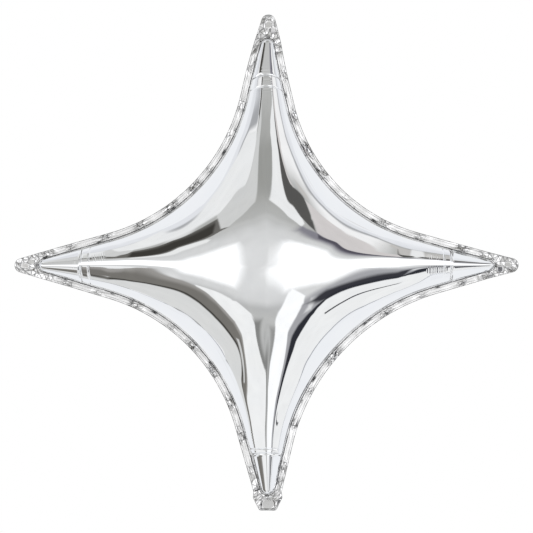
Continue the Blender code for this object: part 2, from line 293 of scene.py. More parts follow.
def gas_edges(along, arm):
    """Middle line and half-width of the filled arm, closed by a half ellipse over its last
    stretch."""
    into_end = np.clip((along - SEAL_END) / GAS_END_LENGTH, 0.0, 1.0)
    middle, half = arm_edges(along, arm)
    return middle, half * np.sqrt(1.0 - into_end ** 2)


def arm_plan(x, z, arm):
    """Distances along an arm and across it, anticlockwise, of points of the plan."""
    return {"right": (x, z), "top": (z, -x), "left": (-x, -z), "bottom": (-z, x)}[arm]


def tube(x, z, ahead, behind):
    """Height squared of the round tube that two opposite arms would make alone: at each place
    across, the distance to the one side times the distance to the other."""
    squares = []
    for arm in (ahead, behind):
        along, across = arm_plan(x, z, arm)
        middle, half = gas_edges(np.abs(along), arm)
        squares.append(half ** 2 - (across - middle) ** 2)
    along, _ = arm_plan(x, z, ahead)
    share = smooth_step(0.5 + along / CROWN_BLEND)
    return np.clip(squares[1] + (squares[0] - squares[1]) * share, 1e-12, None)


def cross_section(place, tilts):
    """Height of an arm's cross-section in half-widths, over that of a round tube. The height is
    the sum of the tilt's tangent from one side to the other, and meets an ellipse at each side."""
    across = np.linspace(-SECTION_EDGE, SECTION_EDGE, 801)
    slope = -np.tan(np.radians(np.interp(across, *np.array(tilts).T)))
    step = across[1] - across[0]
    raised = np.concatenate([[0.0], np.cumsum((slope[1:] + slope[:-1]) / 2.0)]) * step
    raised = raised - raised[-1] / 2.0 + math.sqrt(1.0 - SECTION_EDGE ** 2)
    over_round = raised / np.sqrt(1.0 - across ** 2)
    return np.interp(place, across, over_round)


def arm_detail(along, across, name, phase):
    """Height factor and added height of one arm.

    With q = across / half-width, the factor is the arm's own cross-section over a round one, times
    (1 - q squared) to the power wing beyond the last fold, times for each fold one minus its loss,
    eased in over its width, and one minus its groove, a bell curve. The section goes from tilts to
    far_tilts, and beyond the last fold to end_tilts. A ripple adds a sine along the arm, under a
    bell curve across it and eased at both ends, its phase drifting slowly so that the ridges are
    uneven.
    """
    middle, half = gas_edges(np.abs(along), name)
    q = np.clip((across - middle) / np.maximum(half, 1e-5), -1.0, 1.0)
    arm = ARMS[name]
    past_diagonal = along - np.abs(across)
    own_from, own_full = arm["own"]
    own_shape = smooth_step((past_diagonal - own_from) / (own_full - own_from))
    far_from, far_full = arm["far"]
    section, far_section = cross_section(q, arm["tilts"]), cross_section(q, arm["far_tilts"])
    far_share = smooth_step((along - far_from) / (far_full - far_from))
    section = section + (far_section - section) * far_share
    bent = along + arm["arch"] * q ** 2
    last_fold = arm["folds"][-1][0]
    beyond = smooth_step((bent - last_fold) / FOLD_CHANGE)
    if "end_tilts" in arm:
        section = section + (cross_section(q, arm["end_tilts"]) - section) * beyond
    factor = 1.0 + (section - 1.0) * own_shape
    for place, loss, groove, width in arm["folds"]:
        from_fold = (bent - place) / width
        factor = factor * (1.0 - loss * smooth_step(0.5 + from_fold / 2.0))
        factor = factor * (1.0 - groove * np.exp(-from_fold ** 2))
    factor = factor * np.clip(1.0 - q ** 2, 1e-6, 1.0) ** (arm["wing"] * beyond)
    added = np.zeros_like(factor)
    for start, end, middle, spread, height, period in arm["ripples"]:
        under = smooth_step((along - start) / RIPPLE_END) * smooth_step((end - along) / RIPPLE_END)
        under = under * np.exp(-((q - middle) / spread) ** 2)
        turns = along * 2.0 * math.pi
        drift = RIPPLE_DRIFT * np.sin(turns / (DRIFT_PERIODS * period) + phase) + RIPPLE_SLANT * q
        added = added + height * under * np.sin(turns / period + drift)
    return factor, added


def panel_height(x, z, phase=0.0):
    """Height of the filled film over the weld plane.

    Each arm alone would be a round tube, height squared = half-width squared - offset squared.
    The square of the height is the soft minimum of both arms' tubes and of the crown's height.
    Each arm then carries its own folds and ripples.
    """
    level = tube(x, z, "right", "left")
    upright = tube(x, z, "top", "bottom")
    arms = (level ** -WAIST_SHARPNESS + upright ** -WAIST_SHARPNESS) ** (-1.0 / WAIST_SHARPNESS)
    crown = CENTRE_RISE ** 2
    square = (arms ** -CROWN_SHARPNESS + crown ** -CROWN_SHARPNESS) ** (-1.0 / CROWN_SHARPNESS)
    height = np.sqrt(square)
    for name in ARM_NAMES:
        along, across = arm_plan(x, z, name)
        factor, added = arm_detail(along, across, name, phase)
        here = along > np.abs(across)
        rippled = height * factor + added * smooth_step(height / FOOT_HEIGHT)
        height = np.where(here, rippled, height)
    return height


def section_stations():
    """Distances along an arm of the sections from its tip to the waist, at the weld and at the
    spine. They lie close where an arm is folded and rippled. At the spine they are less by an
    exponential that fades away from the round end, and by a fourth power that grows to the whole
    waist at the waist, so that the last section ends at the centre."""
    stretches = [
        # end, step
        (OWN_WAIST, 0.0022),
        (0.190, 0.0016),
        (0.246, 0.00045),
        (SEAL_END, 0.0009),
    ]
    along = [WAIST]
    for end, step in stretches:
        start = along[-1]
        count = max(1, round((end - start) / step))
        along.extend(np.linspace(start, end, count + 1)[1:])
    along = np.array(along)[::-1]
    round_end = np.linspace(0.0, math.pi / 2, 7)
    cap_along = SEAL_END + GAS_END_LENGTH * np.cos(round_end)
    cap_spine = SEAL_END - GAS_END_LENGTH + 0.8 * GAS_END_LENGTH * np.cos(round_end)
    pulled_in = GAS_END_LENGTH * np.exp(-(SEAL_END - along) / (2.5 * GAS_END_LENGTH))
    turned = WAIST * ((GAS_REACH - along) / (GAS_REACH - WAIST)) ** 4
    spine = along - pulled_in - turned
    return np.concatenate([cap_along[:-1], along]), np.concatenate([cap_spine[:-1], spine])


def half_quadrant(side, after, weld_along, spine_along):
    """Weld points and spine points of the sections beside one arm of a quadrant, as distances
    along the quadrant's first and second arm. after is true for the first arm. The weld points
    are on the filled arm's edge, and close up to the side's own waist with an eased share. The
    spine points are on the arm's axis near the centre and on its middle line further out."""
    number = SIDE_NAMES.index(side)
    arm = ARM_NAMES[number if after else (number + 1) % 4]
    centre_first, centre_second, radius = ROUND_SIDES[side]
    centre = centre_first if after else centre_second
    waist = centre - (radius + SEAL_WIDTH) / math.sqrt(2.0)
    inner = smooth_step((OWN_WAIST - weld_along) / (OWN_WAIST - WAIST))
    along = weld_along + (waist - WAIST) * inner
    middle, half = gas_edges(along, arm)
    middle_spine, _ = gas_edges(spine_along, arm)
    axis = middle_spine * smooth_step((spine_along - AXIS_FROM) / AXIS_LENGTH)
    across, spine_across = (half + middle, axis) if after else (half - middle, -axis)
    weld = np.stack([along, across], axis=1)
    spine = np.stack([spine_along, spine_across], axis=1)
    weld[0, 1] = spine_across[0]
    spine[-1] = 0.0
    return (weld, spine) if after else (weld[:, ::-1], spine[:, ::-1])


def quadrant_plan(side, rows):
    """Plan points of a quadrant: sections from the first arm's tip round to the second's, each
    from the weld to the spine at shares of one less the cosine of an even angle, so close
    together near the weld where the film stands steep."""
    stations = section_stations()
    weld, spine = half_quadrant(side, True, *stations)
    second_weld, second_spine = half_quadrant(side, False, *stations)
    weld = np.concatenate([weld, second_weld[-2::-1]])
    spine = np.concatenate([spine, second_spine[-2::-1]])
    share = 1.0 - np.cos(np.linspace(0.0, math.pi / 2, rows + 1))
    plan = weld[:, None, :] + (spine - weld)[:, None, :] * share[None, :, None]
    return quarter_turned(plan, SIDE_NAMES.index(side))


def quarter_turned(plan, turns):
    """Plan points turned anticlockwise about the star's centre."""
    u, v = plan[..., 0], plan[..., 1]
    x, z = [(u, v), (-v, u), (-u, -v), (v, -u)][turns % 4]
    return np.stack([x, z], axis=-1)


def grid_triangles(rows, columns, start):
    """Two triangles for each cell of a grid of points numbered from start."""
    number = start + np.arange(rows * columns).reshape(rows, columns)
    a, b, c, d = number[:-1, :-1], number[1:, :-1], number[1:, 1:], number[:-1, 1:]
    pair = np.stack([a, b, c, a, c, d], axis=2)
    return pair.reshape(-1, 3)


def joined(grids):
    """Points and triangles of grids that share their borders: coincident points become one, and
    triangles that this leaves without area go. A grid is its points and whether to turn it."""
    points, triangles, start = [], [], 0
    for grid, turned in grids:
        found = grid_triangles(*grid.shape[:2], start)
        triangles.append(found[:, ::-1] if turned else found)
        points.append(grid.reshape(-1, grid.shape[2]))
        start += len(points[-1])
    points = np.concatenate(points)
    triangles = np.concatenate(triangles)
    cell = np.rint(points[:, :3] * POINT_GRID).astype(np.int64)
    _, first, inverse = np.unique(cell, axis=0, return_index=True, return_inverse=True)
    triangles = inverse.reshape(-1)[triangles]
    a, b, c = triangles.T
    triangles = triangles[(a != b) & (b != c) & (c != a)]
    return points[first], triangles


def mesh_object(name, points, triangles, material, attributes=()):
    """A smooth-shaded mesh object of triangles, its edges kept sharp at a film's cut corner."""
    mesh = bpy.data.meshes.new(name)
    mesh.vertices.add(len(points))
    mesh.vertices.foreach_set("co", points[:, :3].astype(np.float32).ravel())
    mesh.loops.add(3 * len(triangles))
    mesh.loops.foreach_set("vertex_index", triangles.astype(np.int32).ravel())
    mesh.polygons.add(len(triangles))
    mesh.polygons.foreach_set("loop_start", 3 * np.arange(len(triangles), dtype=np.int32))
    mesh.update(calc_edges=True)
    mesh.validate()
    mesh.polygons.foreach_set("use_smooth", np.ones(len(mesh.polygons), bool))
    mesh.set_sharp_from_angle(angle=SHARP_ANGLE)
    for number, attribute in enumerate(attributes):
        layer = mesh.attributes.new(attribute, "FLOAT", "POINT")
        layer.data.foreach_set("value", points[:, 3 + number].astype(np.float32))
    mesh.materials.append(material)
    made = bpy.data.objects.new(name, mesh)
    bpy.context.scene.collection.objects.link(made)
    return made


def dress(piece, slot, *nodes):
    """The piece rides on the only body and stands for its nodes. slot is not used."""
    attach(piece, "root")
    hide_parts(*nodes)
    return piece


def filled_panel(name, facing, phase, material, slot, node):
    """One filled film panel: the height function over four quadrants, closed by an inner wall
    with few rows and a foot at the weld. facing is -1 for the front and 1 for the back."""
    grids = []
    for wall, rows in ((0.0, PANEL_ROWS), (PANEL_WALL, WALL_ROWS)):
        for side in SIDE_NAMES:
            plan = quadrant_plan(side, rows)
            height = panel_height(plan[..., 0], plan[..., 1], phase)
            height[:, 0] = 0.0
            lowered = np.clip(height - wall, 0.0, None)
            y = facing * (PANEL_FOOT + lowered)
            x, z = bent_tips(plan[..., 0], plan[..., 1])
            grids.append((np.stack([x, y, z], axis=2), (facing > 0) ^ bool(wall)))
    points, triangles = joined(grids)
    piece = mesh_object(name, points, triangles, material)
    return dress(piece, slot, node)


# Where each side's border is crumpled: distance from the middle of the side, counted
# anticlockwise, half-length and strength
CLUSTERS = {
    "upper_right": [(-0.172, 0.010, 0.9), (-0.118, 0.012, 0.5), (-0.070, 0.010, 0.7),
                    (-0.012, 0.008, 0.4), (0.028, 0.010, 0.8), (0.062, 0.012, 1.0),
                    (0.108, 0.010, 0.9), (0.160, 0.012, 0.8)],
    "upper_left": [(-0.165, 0.010, 0.6), (-0.120, 0.012, 0.6), (-0.078, 0.008, 0.6),
                   (-0.030, 0.009, 0.5), (-0.002, 0.010, 1.1), (0.036, 0.012, 1.0),
                   (0.080, 0.010, 0.7), (0.125, 0.010, 0.7), (0.170, 0.010, 0.6)],
    "lower_left": [(-0.170, 0.012, 0.6), (-0.130, 0.010, 0.5), (-0.082, 0.012, 0.8),
                   (-0.030, 0.010, 0.5), (0.004, 0.011, 1.1), (0.045, 0.012, 0.9),
                   (0.088, 0.012, 0.9), (0.130, 0.014, 0.8), (0.175, 0.010, 0.6)],
    "lower_right": [(-0.172, 0.012, 0.7), (-0.120, 0.010, 0.6), (-0.072, 0.010, 0.6),
                    (-0.020, 0.014, 1.0), (0.020, 0.008, 0.4), (0.064, 0.012, 0.9),
                    (0.112, 0.010, 0.5), (0.165, 0.010, 0.6)],
}

# Flat pressed spots on the sealed ends: distance along the arm, across it, half-lengths both
# ways, and the slopes of the spot both ways
FLAT_SPOTS = {
    "right": [(0.2925, -0.004, 0.0045, 0.0040, 0.27, -0.22),
              (0.3020, 0.002, 0.0040, 0.0035, 0.10, 0.30)],
    "top": [(0.3025, 0.000, 0.0056, 0.0040, 0.20, 0.0),
            (0.2960, -0.006, 0.0050, 0.0028, 0.10, -0.35)],
    "left": [(0.3020, -0.0005, 0.0060, 0.0035, 0.27, 0.30),
             (0.2940, -0.005, 0.0040, 0.0025, 0.10, -0.35)],
    "bottom": [(0.2975, 0.000, 0.0062, 0.0078, 0.10, 0.0)],
}

# Ridges pressed across the sealed ends: distance along the arm, bow, height and half-width
END_RIDGES = {
    "right": [(0.2885, 14.0, 0.0006, 0.0012)],
    "top": [(0.2930, -20.0, 0.0006, 0.0010)],
    "left": [(0.2890, 16.0, 0.0009, 0.0012)],
    "bottom": [(0.2905, 6.0, 0.0005, 0.0008)],
}


def side_stretches(side):
    """Of a side's cut edge: its taper angles and the half-lengths of its arc and of the whole
    edge, for the arm before it and the arm after it. The edge is counted from where it faces the
    star's centre."""
    number = SIDE_NAMES.index(side)
    centres, radius = ROUND_SIDES[side][:2], ROUND_SIDES[side][2]
    stretches = []
    for arm, centre in zip((ARM_NAMES[number], ARM_NAMES[(number + 1) % 4]), centres):
        taper = math.atan(ARM_SLOPES[arm])
        arc = radius * (math.pi / 4 - taper)
        tangent = centre - (radius + SEAL_WIDTH) * math.sin(taper)
        stretches.append((taper, arc, arc + (SEAL_END - tangent) / math.cos(taper)))
    return stretches


def side_point(along, inset, side):
    """Point of a side, in its quadrant: on the side's circle, of its radius plus inset, while
    along is on the arc, and on its tangent beyond."""
    centre_first, centre_second, radius = ROUND_SIDES[side]
    (_, first_arc, _), (_, second_arc, _) = side_stretches(side)
    on_arc = np.clip(along, -first_arc, second_arc)
    angle = 1.25 * math.pi - on_arc / radius
    cos, sin = np.cos(angle), np.sin(angle)
    beyond = along - on_arc
    u = centre_first + (radius + inset) * cos + beyond * sin
    v = centre_second + (radius + inset) * sin - beyond * cos
    return np.stack([u, v], axis=-1)


def bent_tips(x, z):
    """Plan with its sealed ends bent aside a little, as the film hangs: each by an eased shift."""
    for arm, (start, end, shift) in TIP_BENDS.items():
        along, _ = arm_plan(x, z, arm)
        moved = shift * smooth_step((along - start) / (end - start))
        if arm in ("right", "left"):
            z = z + moved
        else:
            x = x + moved
    return x, z


def facets(u, v, seed):
    """Crumpled film: flat triangles that meet in sharp folds. A square lattice of random heights
    is cut along its diagonals and read with straight lines in each triangle; the lattice itself
    is bent by slow sines, so that no two triangles are alike. Gives the height and the share of
    painted shade, 1 on a fold."""
    random = np.random.default_rng(seed)
    heights = random.uniform(-1.0, 1.0, (64, 64))
    shift = random.uniform(0.0, 20.0, 4)
    p = u + 0.34 * np.sin(1.9 * v + shift[0]) + 0.25 * np.sin(0.83 * u + shift[1]) + shift[2]
    q = v + 0.30 * np.sin(1.3 * u + shift[3]) + shift[1]
    column, row = np.floor(p).astype(int), np.floor(q).astype(int)
    fp, fq = p - column, q - row
    column, row = column % 63, row % 63
    low, right = heights[column, row], heights[column + 1, row]
    up, far = heights[column, row + 1], heights[column + 1, row + 1]
    lower = low + fp * (right - low) + fq * (up - low)
    upper = far + (1.0 - fp) * (up - far) + (1.0 - fq) * (right - far)
    to_fold = np.minimum(np.minimum(fp, 1.0 - fp), np.minimum(fq, 1.0 - fq))
    to_fold = np.minimum(to_fold, 0.7 * np.abs(1.0 - fp - fq))
    # painted shade along the folds, strongest on the fold line
    crushed = smooth_step(1.0 - to_fold / CREASE_SHARE)
    return np.where(fp + fq < 1.0, lower, upper), crushed


def lean(out):
    """The border falls away behind the weld plane, less and less with the distance out: by one
    minus the exponential of the distance over the border's width."""
    share = 1.0 - np.exp(-np.clip(out, 0.0, None) / SEAL_WIDTH)
    return LEAN_SHARE * SEAL_WIDTH * math.tan(BORDER_LEAN) * share


def end_lift(along, across, out, arm):
    """Middle surface of a sealed end behind the weld plane, the painted shade on its folds and how
    crumpled it is: facets, less ridges that are bell curves along the arm and bow across it. On its
    pressed spots all of that is smoothed away: a spot is a tilted plane inside a rounded square,
    where the cubes of both distances sum to one, and its rim gets painted shade."""
    seed = 40 + ARM_NAMES.index(arm)
    folds, crushed = facets(along / TIP_FACET, across / TIP_FACET, seed)
    lift = TIP_CRUMPLE_HEIGHT * folds
    # painted shade along the folds
    crushed = END_FOLD_SHADE * crushed
    for place, bow, height, width in END_RIDGES[arm]:
        lift = lift - height * np.exp(-((along - place - bow * across ** 2) / width) ** 2)
    for place, side, half_along, half_across, slope_along, slope_across in FLAT_SPOTS[arm]:
        a, b = (along - place) / half_along, (across - side) / half_across
        far = (np.abs(a) ** 3 + np.abs(b) ** 3) ** (1.0 / 3.0)
        inside = smooth_step((1.15 - far) / 0.3)
        plane = slope_along * (along - place) + slope_across * (across - side) + SPOT_DEPTH
        lift = lift * (1.0 - inside) + plane * inside
        # painted shade on the rim of a pressed spot
        rim = SPOT_RIM_SHADE * np.exp(-((far - 1.05) / 0.09) ** 2)
        crushed = np.maximum(crushed * (1.0 - inside), rim)
    ease = smooth_step(out / END_EASE)
    return lift * ease + lean(out), crushed * ease, np.full_like(lift, END_CRUMPLED)


def side_lift(along, out, side):
    """Middle surface of a side's border behind the weld plane, the painted shade on its folds and
    how crumpled it is: two slow sines along the border, and facets in the crumpled clusters, each
    under a bell curve."""
    seed = 20 + SIDE_NAMES.index(side)
    phase = 1.7 * SIDE_NAMES.index(side)
    strength = np.full_like(along, CALM)
    for place, half_length, strong in CLUSTERS[side]:
        strength = strength + strong * np.exp(-((along - place) / half_length) ** 2)
    long_waves = np.sin(2.0 * math.pi * along / LONG_WAVE + phase)
    waves = long_waves + 0.7 * np.sin(2.0 * math.pi * along / SHORT_WAVE)
    slanted = along / CRUMPLE_LENGTH + out / FACET_SLANT
    folds, crushed = facets(slanted, out / CRUMPLE_WIDTH, seed)
    ease = smooth_step(out / SIDE_EASE)
    crumpled = np.clip(strength, 0.0, 1.0)
    lift = WAVE_HEIGHT * ease * waves + CRUMPLE_HEIGHT * ease * strength * folds
    return lift + lean(out), crushed * smooth_step((crumpled - 0.2) / 0.5) * ease, crumpled


def film_patch(name, plan, surface, out, from_edge, along, plies, material, slot, node):
    """Film between the weld and the cut edge. Its plan is a grid of points, along the weld by
    from the weld outwards. surface is its middle surface, the painted shade on it and how crumpled
    it is, and plies is the distance of its front and back from the middle. Front, back and four
    rims close it."""
    x, z = bent_tips(plan[..., 0], plan[..., 1])
    lift, crushed, crumpled = surface
    front, back = (np.stack([x, lift + ply, z, out, from_edge, along, crushed, crumpled], axis=2)
                   for ply in plies)
    rims = [
        np.stack([back[:, 0], front[:, 0]], axis=1),
        np.stack([front[:, -1], back[:, -1]], axis=1),
        np.stack([front[0], back[0]], axis=0),
        np.stack([back[-1], front[-1]], axis=0),
    ]
    grids = [(front, True), (back, False)] + [(rim, True) for rim in rims]
    points, triangles = joined(grids)
    piece = mesh_object(name, points, triangles, material,
                        ["from_weld", "from_edge", "along_film", "crushed", "crumpled"])
    return dress(piece, slot, node)


def both_ways(count):
    """Shares from 0 to 1 that lie closer together at both ends."""
    return 0.5 - 0.5 * np.cos(np.linspace(0.0, math.pi, count + 1))


def side_border(side, material):
    """Heat-sealed border between two tips, crumpled as the tips are at its two ends."""
    number = SIDE_NAMES.index(side)
    (_, _, first_end), (_, _, second_end) = side_stretches(side)
    columns = round((first_end + second_end) / BORDER_CELL)
    along = np.linspace(-first_end, second_end, columns + 1)[:, None]
    out = (-TUCK + (SEAL_WIDTH + TUCK) * both_ways(BORDER_ROWS))[None, :]
    along, out = np.broadcast_arrays(along, out)
    plan = side_point(along, SEAL_WIDTH - out, side)
    u, v = plan[..., 0], plan[..., 1]
    near_first = smooth_step((-along - first_end + TIP_STRETCH) / TIP_CHANGE)
    near_second = smooth_step((along - second_end + TIP_STRETCH) / TIP_CHANGE)
    surface = np.array(side_lift(along, out, side)) * (1.0 - near_first) * (1.0 - near_second)
    surface = surface + np.array(end_lift(u, v, out, ARM_NAMES[number])) * near_first
    surface = surface + np.array(end_lift(v, -u, out, ARM_NAMES[(number + 1) % 4])) * near_second
    turned = quarter_turned(plan, number)
    half = BORDER_THICKNESS / 2
    return film_patch("border_" + side, turned, surface, out, SEAL_WIDTH - out, along,
                      (-half, half), material, "border_film", "seal_" + side)


def evenly(points, count):
    """Points at equal distances along a line of straight stretches."""
    points = np.array(points, float)
    steps = np.hypot(*np.diff(points, axis=0).T)
    far = np.concatenate([[0.0], np.cumsum(steps)])
    wanted = np.linspace(0.0, far[-1], count + 1)
    return np.stack([np.interp(wanted, far, column) for column in points.T], axis=1)


def border_joints(arm, inset):
    """Where the borders before and after an arm end, along it and across it."""
    number = ARM_NAMES.index(arm)
    after, before = SIDE_NAMES[number], SIDE_NAMES[number - 1]
    after_end = side_stretches(after)[0][2]
    before_end = side_stretches(before)[1][2]
    upper = side_point(np.array(-after_end), inset, after)
    lower = side_point(np.array(before_end), inset, before)
    return np.array([lower[1], -lower[0]]), upper


def end_patch_plan(arm, outline, columns, rows):
    """Plan of a sealed end along +X, ruled from the half ellipse of the gas end to the cut edge.
    outline runs anticlockwise from the one border's joint round to the other's."""
    lower, upper = border_joints(arm, SEAL_WIDTH + TUCK)
    angle = np.linspace(-math.pi / 2, math.pi / 2, columns + 1)
    middle, half = (upper + lower) / 2, (upper - lower) / 2
    length = GAS_REACH - TUCK - middle[0]
    inner_along = middle[0] + half[0] * np.sin(angle) + length * np.cos(angle)
    inner = np.stack([inner_along, middle[1] + half[1] * np.sin(angle)], axis=1)
    outer = evenly(outline, columns)
    share = both_ways(rows)[None, :, None]
    plan = inner[:, None, :] * (1.0 - share) + outer[:, None, :] * share
    width = np.hypot(*(outer - inner).T)[:, None]
    out = share[..., 0] * width - TUCK
    from_edge = (1.0 - share[..., 0]) * width
    along = np.broadcast_to(np.linspace(0.0, END_OUTLINE, columns + 1)[:, None], out.shape)
    return plan, out, from_edge, along


def tip_outline(arm):
    """Outline of a sealed tip: an arc of TIP_RADIUS at the tip's reach, and its tangents to both
    borders' joints."""
    lower, upper = border_joints(arm, 0.0)
    centre = np.array([TIP_REACH - TIP_RADIUS, (upper[1] + lower[1]) / 2])
    ends = []
    for joint, way in ((lower, -1.0), (upper, 1.0)):
        to_joint = joint - centre
        bearing = math.atan2(to_joint[1], to_joint[0])
        ends.append(bearing - way * math.acos(TIP_RADIUS / np.hypot(*to_joint)))
    angle = np.linspace(ends[0], ends[1], 49)
    arc = centre + TIP_RADIUS * np.stack([np.cos(angle), np.sin(angle)], axis=1)
    return np.concatenate([[lower], arc, [upper]])


def tail_outline(arm):
    """Outline of the blunt tail: a straight end with rounded corners, and sides that bend at a
    shoulder."""
    lower, upper = border_joints(arm, 0.0)
    middle = (upper[1] + lower[1]) / 2
    shoulder = np.array(TAIL_SHOULDER)
    corner = np.array([TAIL_REACH, TAIL_END_HALF_WIDTH])
    back = (shoulder - corner) / np.hypot(*(shoulder - corner))
    half_angle = math.acos(-back[1]) / 2
    centre = corner - (TAIL_CORNER, TAIL_CORNER / math.tan(half_angle))
    angle = np.linspace(0.0, math.pi - 2 * half_angle, 9)
    arc = centre + TAIL_CORNER * np.stack([np.cos(angle), np.sin(angle)], axis=1)
    half = np.concatenate([arc, [shoulder]])
    whole = np.concatenate([half[::-1] * (1.0, -1.0), half]) + (0.0, middle)
    return np.concatenate([[lower], whole, [upper]])


def sealed_end(name, arm, outline, plies, material, slot, node):
    """Sealed tip or tail ply beyond the filled arm, turned onto its arm."""
    plan, out, from_edge, along = end_patch_plan(arm, outline, END_COLUMNS, END_ROWS)
    surface = end_lift(plan[..., 0], plan[..., 1], out, arm)
    turned = quarter_turned(plan, ARM_NAMES.index(arm))
    return film_patch(name, turned, surface, out, from_edge, along, plies, material, slot, node)


def valve_film(name, plies, material, node):
    """One clear film of the flat filling valve, which follows the tail's plies between them."""
    low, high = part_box(node)
    across = np.linspace(low.x, high.x, VALVE_COLUMNS + 1)[:, None]
    along = np.linspace(-high.z, -low.z, VALVE_ROWS + 1)[None, :]
    across, along = np.broadcast_arrays(across, along)
    out = np.full_like(along, VALVE_OUT)
    surface = end_lift(along, across, out, "bottom")
    turned = quarter_turned(np.stack([along, across], axis=-1), ARM_NAMES.index("bottom"))
    return film_patch(name, turned, surface, out, out, along, plies, material, "valve_film", node)


def new_material(name):
    """A material with an empty Principled shader, its tree and that shader."""
    made = bpy.data.materials.new(name)
    made.use_nodes = True
    tree = made.node_tree
    shader = tree.nodes["Principled BSDF"]
    return made, tree, shader


def metallised_film(name, tint, roughness):
    """Aluminium vapour-coated nylon film, pulled tight by the gas: a cold mirror. The eye gets
    crisp reflections that swim a little, because the film is never quite even, and a faint haze
    where handling has dulled the coating."""
    made, tree, shader = new_material(name)
    place = add(tree, "ShaderNodeTexCoord").outputs["Object"]
    # hazy patches, 60 mm across
    haze = add(tree, "ShaderNodeTexNoise", {"Vector": place, "Scale": 16.0, "Detail": 3.0})
    rough = add(tree, "ShaderNodeMapRange", {
        "Value": haze.outputs["Fac"], "From Min": 0.35, "From Max": 0.7,
        "To Min": roughness * 0.7, "To Max": roughness * 1.6})
    tree.links.new(rough.outputs["Result"], shader.inputs["Roughness"])
    # coating colour, even to a hundredth
    mottle = add(tree, "ShaderNodeTexNoise", {"Vector": place, "Scale": 45.0, "Detail": 2.0})
    tinted = add(tree, "ShaderNodeMix", {
        "Factor": mottle.outputs["Fac"], 6: colour(tint[0]), 7: colour(tint[1])}, data_type="RGBA")
    tree.links.new(tinted.outputs[2], shader.inputs["Base Color"])
    # orange peel of the stretched film, 4 mm across and a few micrometres high
    peel = add(tree, "ShaderNodeTexNoise", {"Vector": place, "Scale": 240.0, "Detail": 1.0})
    bump = add(tree, "ShaderNodeBump", {
        "Height": peel.outputs["Fac"], "Strength": 0.35, "Distance": 0.00001})
    tree.links.new(bump.outputs["Normal"], shader.inputs["Normal"])
    shader.inputs["Metallic"].default_value = 1.0
    return made


def heat_sealed_film(name, tint, crushed):
    """Two plies of metallised film welded between heated jaws: a whitish, dulled mirror, which is
    brighter and sharper where it has crumpled. The weld line, the lines beside it and at the cut
    edge, and the folds carry painted shade, the dark of pressed grooves and creases put into the
    film's colour. The lines waver and swell where the film has gathered."""
    made, tree, shader = new_material(name)
    place = add(tree, "ShaderNodeTexCoord").outputs["Object"]
    along, from_weld, from_edge, fold_shade, crumpled = (
        add(tree, "ShaderNodeAttribute", attribute_name=attribute).outputs["Fac"]
        for attribute in ("along_film", "from_weld", "from_edge", "crushed", "crumpled"))
    run = add(tree, "ShaderNodeCombineXYZ", {"X": along}).outputs["Vector"]
    # wavering of the lines: 7 mm long, 0.4 mm to either side
    short = add(tree, "ShaderNodeTexNoise", {"Vector": run, "Scale": 140.0, "Detail": 2.0})
    waver = add(tree, "ShaderNodeMapRange", {
        "Value": short.outputs["Fac"], "From Min": 0.25, "From Max": 0.75,
        "To Min": -0.0004, "To Max": 0.0004}).outputs["Result"]
    # swelling of the lines, 25 mm long
    gathered = add(tree, "ShaderNodeTexNoise", {"Vector": run, "Scale": 42.0, "Detail": 3.0})
    # painted shade on the folds, to which the lines' painted shade is added
    crush = fold_shade
    # painted shade: dark lines along the weld and the cut edge, where pressed grooves would be
    # shaded
    lines = [
        # distance, its middle and half-width in metres, strength, noise from thinnest to thickest
        (from_weld, 0.0005, 0.00050, 0.95, 0.25, 0.45),
        (from_weld, 0.0018, 0.00080, 1.00, 0.53, 0.66),
        (from_weld, 0.0030, 0.00030, 0.75, 0.35, 0.60),
        (from_edge, 0.0025, 0.00030, 0.75, 0.30, 0.60),
        (from_edge, 0.0, 0.00055, 0.90, 0.0, 0.1),
    ]
    for distance, middle, half_width, strength, thin, thick in lines:
        off = add(tree, "ShaderNodeMath", {0: distance, 1: waver}, operation="ADD").outputs[0]
        off = add(tree, "ShaderNodeMath", {0: off, 1: middle}, operation="SUBTRACT").outputs[0]
        off = add(tree, "ShaderNodeMath", {0: off}, operation="ABSOLUTE").outputs[0]
        width = add(tree, "ShaderNodeMapRange", {
            "Value": gathered.outputs["Fac"], "From Min": thin, "From Max": thick,
            "To Min": 0.05 * half_width, "To Max": half_width}).outputs["Result"]
        off = add(tree, "ShaderNodeMath", {0: off, 1: width}, operation="DIVIDE").outputs[0]
        line = add(tree, "ShaderNodeMapRange", {
            "Value": off, "From Min": 0.7, "From Max": 1.3, "To Min": strength, "To Max": 0.0},
            interpolation_type="SMOOTHSTEP").outputs["Result"]
        crush = add(tree, "ShaderNodeMath", {0: crush, 1: line}, operation="MAXIMUM").outputs[0]
    # painted shade: the film's colour darkened on the lines and folds
    tinted = add(tree, "ShaderNodeMix", {
        "Factor": crush, 6: colour(tint), 7: colour(crushed)}, data_type="RGBA")
    tree.links.new(tinted.outputs[2], shader.inputs["Base Color"])
    rough = add(tree, "ShaderNodeMapRange", {"Value": crumpled, "To Min": 0.36, "To Max": 0.12})
    tree.links.new(rough.outputs["Result"], shader.inputs["Roughness"])
    # knurl of the sealing jaws, drawn 1.2 mm apart so that it shows close to
    knurl = add(tree, "ShaderNodeTexVoronoi", {"Vector": place, "Scale": 830.0})
    bump = add(tree, "ShaderNodeBump", {
        "Height": knurl.outputs["Distance"], "Strength": 0.1, "Distance": 0.00001})
    tree.links.new(bump.outputs["Normal"], shader.inputs["Normal"])
    shader.inputs["Metallic"].default_value = 1.0
    return made


